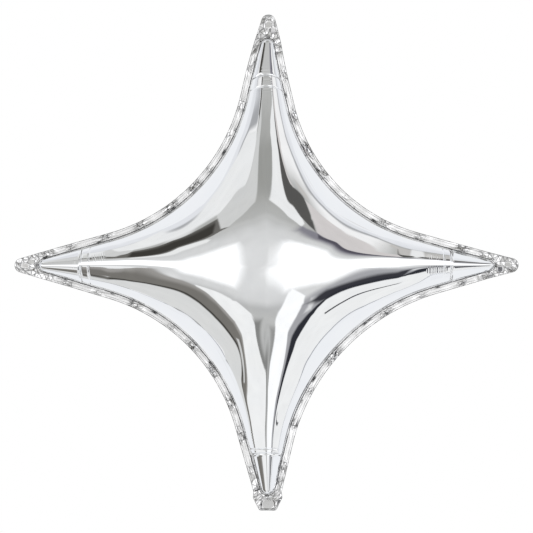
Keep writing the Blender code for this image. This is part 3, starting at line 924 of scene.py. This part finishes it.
def clear_film():
    """Polyethylene valve film, blown clear: soft, slightly milky, with fine lengthwise streaks."""
    made, tree, shader = new_material("clear_polyethylene_film")
    place = add(tree, "ShaderNodeTexCoord").outputs["Object"]
    stretched = add(tree, "ShaderNodeMapping", {"Vector": place, "Scale": (900.0, 900.0, 60.0)})
    streaks = add(tree, "ShaderNodeTexNoise", {"Vector": stretched.outputs["Vector"], "Scale": 1.0})
    rough = add(tree, "ShaderNodeMapRange", {
        "Value": streaks.outputs["Fac"], "To Min": 0.12, "To Max": 0.32})
    tree.links.new(rough.outputs["Result"], shader.inputs["Roughness"])
    shader.inputs["Base Color"].default_value = colour("#EEF2F4")
    shader.inputs["Transmission Weight"].default_value = 0.75
    shader.inputs["IOR"].default_value = 1.51
    return made


def matt_paint():
    """Matt white wall paint, rolled on: an even pale floor with a faint roller texture."""
    made, tree, shader = new_material("matt_white_paint")
    place = add(tree, "ShaderNodeTexCoord").outputs["Object"]
    roller = add(tree, "ShaderNodeTexNoise", {"Vector": place, "Scale": 260.0, "Detail": 4.0})
    bump = add(tree, "ShaderNodeBump", {
        "Height": roller.outputs["Fac"], "Strength": 0.2, "Distance": 0.0003})
    tree.links.new(bump.outputs["Normal"], shader.inputs["Normal"])
    clouds = add(tree, "ShaderNodeTexNoise", {"Vector": place, "Scale": 1.3})
    tinted = add(tree, "ShaderNodeMix", {
        "Factor": clouds.outputs["Fac"], 6: colour("#F4F4F2"), 7: colour("#FAFAF9")},
        data_type="RGBA")
    tree.links.new(tinted.outputs[2], shader.inputs["Base Color"])
    shader.inputs["Roughness"].default_value = 0.85
    return made


# Studio round the star, which its film mirrors. A card is a soft-edged sheet of light or shade.
# Its corners are seen from the star, in degrees right and up of the camera, anticlockwise, each
# with the softness of the edge that follows it.
STUDIO_BASE = "#F8F9FB"
UNEVEN_LIGHT = 0.035              # how far the light falls short of even, as a share
BEHIND_FROM = 111.5               # degrees from the camera's direction where "behind" begins
BEHIND_SPREAD = 1.25              # how much smaller the cards stand there
PLAIN_FROM = (109.0, 111.0)       # degrees over which the cards in front fade into plain light
PLAIN_TO = (112.0, 117.0)         # degrees over which those behind come out of it
CARDS = [
    # name, colour, strength, corners
    ("upper_haze", "#EAEBEE", 1.0, [
        (92, -5, 24), (92, 94, 24), (-95, 97, 24), (-95, -5, 24)]),
    ("upper_sweep_line", "#ABACAE", 1.0, [
        (-80, -10, 3), (80, -10, 3), (80.5, 27, 3), (79.5, 50, 3), (78, 62, 3), (76, 70.5, 3),
        (72.5, 76, 3), (67.5, 79.7, 3), (50, 81, 3), (-50, 80.5, 4), (-61.5, 79.5, 4),
        (-70, 74, 4), (-75.5, 66, 4), (-79, 50, 3)]),
    ("lower_sweep_line", "#8C8F98", 1.0, [
        (-79.2, -60, 1.5), (-78.7, -69, 1.5), (-77.6, -74, 1.5), (-74.3, -77.6, 1.5),
        (-66, -79.8, 1.5), (58, -80, 1.5), (66.5, -79.5, 1.5), (72, -77.5, 1.5), (76, -74, 1.5),
        (78.5, -68.5, 1.5), (80, -55, 1.5), (80, 5, 1.5), (-79.5, 5, 1.5)]),
    ("sweep", "#FCFBFA", 1.0, [
        (-78.5, -60, 1), (-78, -68.5, 1), (-77, -73.5, 1), (-73.5, -77, 1), (-65.5, -79, 1),
        (58, -79, 1), (66, -78.5, 1), (71, -76.5, 1), (75, -73, 1), (77.5, -68, 1), (79, -55, 1),
        (78, 27, 3), (77, 50, 3), (75.5, 61.5, 3), (73.5, 69, 3), (70, 74, 3), (66, 77, 3),
        (50, 78, 3), (-50, 76.5, 3), (-59, 75.5, 3), (-66, 70.5, 3), (-71.5, 64, 3),
        (-75.5, 50, 2), (-79, 25, 1)]),
    ("upper_left_sweep", "#E6E6E5", 1.0, [
        (-74, 36, 2), (-46, 46, 8), (-58, 75, 2), (-66, 70, 2), (-71, 63, 2)]),
    ("crown", "#DDDDDC", 1.0, [
        (-66, -26, 5), (66, -26, 5), (66, 30, 5), (-66, 30, 5)]),
    ("ceiling_soft", "#B9B9B6", 1.0, [
        (-66, 26, 20), (60, 26, 20), (60, 80, 2), (-52, 80, 2), (-66, 60, 6)]),
    ("ceiling", "#A1A19D", 1.0, [
        (-26, 50, 30), (26, 50, 30), (26, 80, 2), (-26, 80, 2)]),
    ("upper_left_light", "#D6D6D4", 1.0, [
        (-38, 31, 2), (-28, 33, 2), (-22, 40, 2), (-17, 48, 2), (-18.5, 64, 2), (-20, 80, 2),
        (-50, 80, 3), (-50, 57, 3), (-46.5, 43, 2)]),
    ("upper_left_white", "#F3F3F2", 1.0, [
        (-72, 50, 5), (-48.5, 55, 2), (-42, 65, 2), (-41, 80, 3), (-72, 80, 4)]),
    ("upper_left_edge", "#6B6965", 1.0, [
        (-72, 28, 1), (-28, 32, 1), (-36, 33.5, 1), (-72, 33, 1)]),
    ("upper_left_dark", "#6E6C68", 1.0, [
        (-72, 28.5, 2), (-36, 32.3, 2), (-41, 40, 2), (-47, 49, 2), (-72, 45.5, 3)]),
    ("upper_left_core", "#3E3C38", 1.0, [
        (-72, 29.5, 2), (-44, 33, 4), (-46, 42, 3), (-48, 45, 8), (-72, 43.5, 8)]),
    ("upper_left_streak", "#F4F4F2", 1.0, [
        (-74, 20.5, 3), (-47, 23, 3), (-44, 26, 3), (-48, 28.5, 1), (-74, 27.5, 1)]),
    ("right_strip", "#C9C6C2", 1.0, [
        (20, 71.5, 2), (58, 71.5, 2), (58, 77, 1.5), (20, 77, 1.5)]),
    ("upper_right_white", "#F4F4F3", 1.0, [
        (14, 49, 2), (22, 39, 2), (29, 32.5, 2), (34, 38, 2), (36, 71.5, 2), (36, 80, 2),
        (23, 80, 2), (18, 64, 2)]),
    ("upper_right_dark", "#5A5957", 1.0, [
        (38, 39, 3), (43, 35.5, 2), (50.5, 66, 2), (51.8, 72, 1), (34, 72, 2), (32, 54, 2),
        (33.5, 46, 2)]),
    ("upper_right_pink", "#D8D3D1", 1.0, [
        (44, 34.5, 2), (62, 31, 2), (71, 48, 2), (70.5, 57, 2), (63, 62.5, 2), (56, 67.5, 2),
        (51.5, 68.5, 2)]),
    ("right_dusk", "#8A8890", 1.0, [
        (22, 26, 9), (69, 22, 9), (69, 31, 2), (43, 35, 3), (28, 33, 6)]),
    ("right_dusk_core", "#57545E", 1.0, [
        (42, 29, 5), (69, 25, 3), (69, 31, 2), (44, 34, 2)]),
    ("lower_soft", "#BFBFBE", 1.0, [
        (-66, -30, 4), (9, -30, 4), (13, -19, 8), (-66, -19, 8)]),
    ("middle", "#E4E4E3", 1.0, [
        (-20, -12, 12), (14, -12, 8), (14, 10, 14), (-20, 10, 12)]),
    ("left_lozenge", "#FFFFFF", 1.5, [
        (-76, -8, 8), (-18, -10, 9), (-11, -1, 10), (-17, 11, 8), (-76, 9, 6)]),
    ("right_lozenge", "#FFFFFF", 1.5, [
        (2, -2, 10), (10, -10, 9), (76, -13, 9), (76, 16, 8), (18, 13, 12), (9, 9.5, 10)]),
    ("lower_left_white", "#FAFAF9", 1.0, [
        (-57, -20, 1.5), (-57, -78, 1.5), (-4, -78, 1.5), (-10.5, -28, 1.5), (-20, -21, 1.5)]),
    ("lower_left_grey", "#A19E9A", 1.0, [
        (-80, -12, 3), (-72, -50, 2), (-56, -78, 2), (-29, -78, 2), (-30.5, -43, 2),
        (-35.5, -34.5, 2), (-42, -29, 2), (-53, -23.5, 3)]),
    ("lower_left_core", "#7B7873", 1.0, [
        (-80, -20, 8), (-72, -50, 2), (-56, -78, 2), (-31, -78, 3), (-33, -46, 4), (-42, -33, 6),
        (-55, -27, 8)]),
    ("lower_left_slit", "#D5D5D3", 1.0, [
        (-39, -61, 1.5), (-38, -78, 1.5), (-33, -78, 1.5), (-36, -61, 1.5)]),
    ("lower_left_line", "#45433F", 1.0, [
        (-78, -31, 2), (-78, -75, 2), (-40, -75, 2), (-40, -66, 2), (-46, -54, 2), (-52, -47, 2),
        (-60, -40.5, 2), (-68, -36, 2)]),
    ("lower_left_floor", "#E1E1DF", 1.0, [
        (-80, -34.5, 1), (-80, -60, 1), (-79, -70, 1), (-76, -76, 1), (-36, -78, 2),
        (-42, -68, 3), (-49, -56.5, 3), (-55, -49.5, 3), (-62, -43.5, 3), (-69, -39.5, 3)]),
    ("tail_soft", "#C2C2C0", 1.0, [
        (-4, -78, 1.5), (2, -78, 1.5), (7.5, -38, 1.5), (8.5, -24, 10), (-11, -24, 2)]),
    ("tail_dark", "#8A8A88", 1.0, [
        (-4, -78, 1), (-2, -78, 4), (-4, -34, 10), (-10.5, -34, 1)]),
    ("tail_mid", "#9C9C9A", 1.0, [
        (-1, -78, 4), (2, -78, 2), (5.5, -44, 12), (1, -44, 4)]),
    ("lower_right_white", "#FFFFFF", 1.1, [
        (1.5, -78, 1.5), (20, -78, 2), (25, -45, 2), (25, -19, 1), (13.5, -11, 2), (8, -26, 1.5)]),
    ("lower_right_grey", "#ABABAE", 1.0, [
        (21, -78, 2), (73, -75, 2), (72, -12, 6), (50, -16, 6), (26, -21, 2)]),
    ("lower_right_glow", "#E4E4E4", 1.0, [
        (31, -34, 4), (36, -34, 4), (38, -24, 4), (32, -23, 4)]),
    ("right_black", "#3A3A40", 1.0, [
        (30, -26, 5), (42, -30, 2), (70, -28, 2), (70, -20, 5), (46, -21, 5)]),
    ("lower_right_black", "#303138", 1.0, [
        (25.5, -78, 3), (68, -76, 3), (72, -60, 3), (73, -26, 3), (60, -26, 3), (50, -28, 3),
        (42, -32, 3), (35, -38, 4), (30.5, -46, 3), (28.5, -58, 3)]),
    ("lower_right_light", "#F8F8F7", 1.0, [
        (33, -79, 1), (58, -79, 1), (66, -78.5, 1), (71, -76.5, 1), (75, -73, 1), (77.5, -68, 1),
        (79, -55, 1), (78.5, -30, 1.5), (60, -29.5, 1.5), (50, -31, 1.5), (44, -36, 1.5),
        (40.5, -43, 1.5), (38, -54, 1.5)]),
    ("lower_right_streak", "#3C3C42", 1.0, [
        (55.5, -46.5, 1), (57, -48.5, 1), (71.5, -44, 1), (71, -42, 1)]),
]


def studio():
    """World that paints each card over the last one. A direction's place on the cards is its
    angle from the camera's direction, split right and up. Behind the star it is the angle from the
    opposite direction times BEHIND_SPREAD, so the same cards stand there too, smaller, with plain
    light in between. A card's share is the least, over its edges, of the place's distance inside
    that edge, eased from 0 to 1 over the edge's softness. The camera itself sees a plain white
    backdrop."""
    world = bpy.data.worlds.new("white_studio")
    bpy.context.scene.world = world
    world.use_nodes = True
    tree = world.node_tree
    tree.nodes.clear()
    direction = add(tree, "ShaderNodeTexCoord").outputs["Generated"]
    parts = add(tree, "ShaderNodeSeparateXYZ", {0: direction})
    cosine = add(tree, "ShaderNodeMath", {0: parts.outputs["Y"], 1: -1.0}, operation="MULTIPLY")
    angle = add(tree, "ShaderNodeMath", {0: cosine.outputs[0]}, operation="ARCCOSINE")
    front = add(tree, "ShaderNodeMath", {
        0: angle.outputs[0], 1: 180.0 / math.pi}, operation="MULTIPLY").outputs[0]
    from_behind = add(tree, "ShaderNodeMath", {0: 180.0, 1: front}, operation="SUBTRACT")
    behind = add(tree, "ShaderNodeMath", {
        0: from_behind.outputs[0], 1: BEHIND_SPREAD}, operation="MULTIPLY")
    is_behind = add(tree, "ShaderNodeMath", {0: front, 1: BEHIND_FROM}, operation="GREATER_THAN")
    degrees = add(tree, "ShaderNodeMix", {
        "Factor": is_behind.outputs[0], 2: front, 3: behind.outputs[0]}, data_type="FLOAT")
    aside = add(tree, "ShaderNodeCombineXYZ", {"X": parts.outputs["X"], "Y": parts.outputs["Z"]})
    unit = add(tree, "ShaderNodeVectorMath", {0: aside.outputs[0]}, operation="NORMALIZE")
    spread = add(tree, "ShaderNodeVectorMath", {
        0: unit.outputs[0], "Scale": degrees.outputs[0]}, operation="SCALE")
    place = add(tree, "ShaderNodeVectorMath", {
        0: spread.outputs[0], 1: (0.0, 0.0, 1.0)}, operation="ADD").outputs[0]
    seen = None
    for name, card_colour, strength, corners in CARDS:
        share = None
        for (u, v, softness), (next_u, next_v, _) in zip(corners, corners[1:] + corners[:1]):
            length = math.hypot(next_u - u, next_v - v)
            across_u, across_v = (v - next_v) / length, (next_u - u) / length
            offset = 0.5 - (across_u * u + across_v * v) / softness
            edge = (across_u / softness, across_v / softness, offset)
            inside = add(tree, "ShaderNodeVectorMath", {0: place, 1: edge}, operation="DOT_PRODUCT")
            if share is None:
                share = inside.outputs["Value"]
            else:
                share = add(tree, "ShaderNodeMath", {
                    0: share, 1: inside.outputs["Value"]}, operation="MINIMUM").outputs[0]
        eased = add(tree, "ShaderNodeMapRange", {"Value": share},
                    interpolation_type="SMOOTHSTEP", label=name)
        lit = tuple(strength * channel for channel in linear(card_colour)) + (1.0,)
        under = colour(STUDIO_BASE) if seen is None else seen
        seen = add(tree, "ShaderNodeMix", {
            "Factor": eased.outputs["Result"], 6: under, 7: lit}, data_type="RGBA").outputs[2]
    # plain light between the cards in front and those behind
    faded_out = add(tree, "ShaderNodeMapRange", {
        "Value": front, "From Min": PLAIN_FROM[0], "From Max": PLAIN_FROM[1]},
        interpolation_type="SMOOTHSTEP").outputs["Result"]
    not_back = add(tree, "ShaderNodeMapRange", {
        "Value": front, "From Min": PLAIN_TO[0], "From Max": PLAIN_TO[1], "To Min": 1.0,
        "To Max": 0.0}, interpolation_type="SMOOTHSTEP").outputs["Result"]
    plain = add(tree, "ShaderNodeMath", {0: faded_out, 1: not_back}, operation="MULTIPLY")
    seen = add(tree, "ShaderNodeMix", {
        "Factor": plain.outputs[0], 6: seen, 7: colour(STUDIO_BASE)}, data_type="RGBA").outputs[2]
    # light that is uneven by a few hundredths over about 9 degrees
    patches = add(tree, "ShaderNodeTexNoise", {"Vector": place, "Scale": 0.11, "Detail": 2.0})
    uneven = add(tree, "ShaderNodeMapRange", {
        "Value": patches.outputs["Fac"], "From Min": 0.3, "From Max": 0.7,
        "To Min": 1.0 - UNEVEN_LIGHT, "To Max": 1.0 + 0.6 * UNEVEN_LIGHT})
    seen = add(tree, "ShaderNodeVectorMath", {
        0: seen, "Scale": uneven.outputs["Result"]}, operation="SCALE").outputs[0]
    path = add(tree, "ShaderNodeLightPath")
    backdrop = add(tree, "ShaderNodeMix", {
        "Factor": path.outputs["Is Camera Ray"], 6: seen, 7: (1.0, 1.0, 1.0, 1.0)},
        data_type="RGBA")
    light = add(tree, "ShaderNodeBackground", {"Color": backdrop.outputs[2], "Strength": 1.0})
    add(tree, "ShaderNodeOutputWorld", {"Surface": light.outputs[0]})


def white_paper():
    """Bright white background paper, evenly lit from both sides. The mirror gets plain light from
    it, with no shade and no gloss."""
    made, _, shader = new_material("lit_white_paper")
    shader.inputs["Base Color"].default_value = (0.0, 0.0, 0.0, 1.0)
    shader.inputs["Emission Color"].default_value = colour(STUDIO_BASE)
    shader.inputs["Emission Strength"].default_value = 1.0
    shader.inputs["Roughness"].default_value = 1.0
    shader.inputs["Specular IOR Level"].default_value = 0.0
    made.cycles.emission_sampling = "NONE"
    return made


def surround(material):
    """Backdrop paper in the weld's plane round the star, which only the mirror sees. It keeps what
    stands behind the star off the steep edges of the front panel, and the other way round. Beside
    each side it is the side's cut edge, moved out by a gap and then by shares of its width, which
    swells by a bell curve in the corner, and it bows back by a hair with the square of the
    share."""
    for side in SIDE_NAMES:
        (_, _, first_end), (_, _, second_end) = side_stretches(side)
        along = np.linspace(-first_end, second_end, 121)[:, None]
        share = np.linspace(0.0, 1.0, 9)[None, :]
        along, share = np.broadcast_arrays(along, share)
        width = SURROUND_WIDTH + SURROUND_CORNER * np.exp(-(along / SURROUND_CORNER_LENGTH) ** 2)
        plan = side_point(along, -(SURROUND_GAP + width * share), side)
        plan = quarter_turned(plan, SIDE_NAMES.index(side))
        x, z = plan[..., 0], plan[..., 1]
        y = SURROUND_BACK + SURROUND_BOW * share ** 2
        points, triangles = joined([(np.stack([x, y, z], axis=2), True)])
        made = mesh_object("surround_" + side, points, triangles, material)
        made.visible_camera = False
        made.visible_diffuse = False
        made.visible_shadow = False
        made.visible_transmission = False


def floor(material):
    """Plain pale floor well under the star: a sheet whose height grows by a hair with the square
    of the distance from its middle."""
    across = np.linspace(-FLOOR_HALF_WIDTH, FLOOR_HALF_WIDTH, 41)
    y, x = np.meshgrid(across, across, indexing="ij")
    z = -FLOOR_DROP + FLOOR_SAG * (x ** 2 + y ** 2) / FLOOR_HALF_WIDTH ** 2
    points, triangles = joined([(np.stack([x, y, z], axis=2), True)])
    made = mesh_object("floor", points, triangles, material)
    made.visible_glossy = False


def camera():
    """Camera straight in front of the star, far enough off to show it almost without depth."""
    lens = bpy.data.cameras.new("camera")
    lens.sensor_width = SENSOR_WIDTH
    lens.lens = SENSOR_WIDTH * CAMERA_DISTANCE / PHOTO_WIDTH
    made = bpy.data.objects.new("camera", lens)
    made.location = (0.0, -CAMERA_DISTANCE, 0.0)
    made.rotation_euler = (math.pi / 2, 0.0, 0.0)
    bpy.context.scene.collection.objects.link(made)
    bpy.context.scene.camera = made


def main():
    """The film's pieces, then what stands round them."""
    bpy.context.scene.view_settings.view_transform = "Standard"
    front_film = metallised_film("metallised_nylon_front", ("#F1F3F6", "#F6F7F8"), 0.03)
    back_film = metallised_film("metallised_nylon_back", ("#F0F2F5", "#F5F6F8"), 0.035)
    # the second colour is the painted shade on the border's lines and folds
    sealed = heat_sealed_film("heat_sealed_border_film", "#FCFCFD", "#1E2023")
    clear = clear_film()
    filled_panel("front_skin", -1, 0.0, front_film, "front_film", "front_panel")
    filled_panel("back_skin", 1, 2.1, back_film, "back_film", "back_panel")
    for side in SIDE_NAMES:
        side_border(side, sealed)
    half = BORDER_THICKNESS / 2
    for arm in ("right", "top", "left"):
        sealed_end("sealed_tip_" + arm, arm, tip_outline(arm), (-half, half), sealed, "border_film",
                   "tip_tab_" + arm)
    for name, node in (("tail_front", "tail_front_ply"), ("tail_back", "tail_back_ply")):
        low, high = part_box(node)
        sealed_end(name, "bottom", tail_outline("bottom"), (low.y, high.y), sealed, "border_film",
                   node)
    for name, node in (("valve_front", "valve_front_film"), ("valve_back", "valve_back_film")):
        low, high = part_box(node)
        valve_film(name, (low.y, high.y), clear, node)
    studio()
    surround(white_paper())
    floor(matt_paint())
    camera()


main()

bpy.context.view_layer.update()
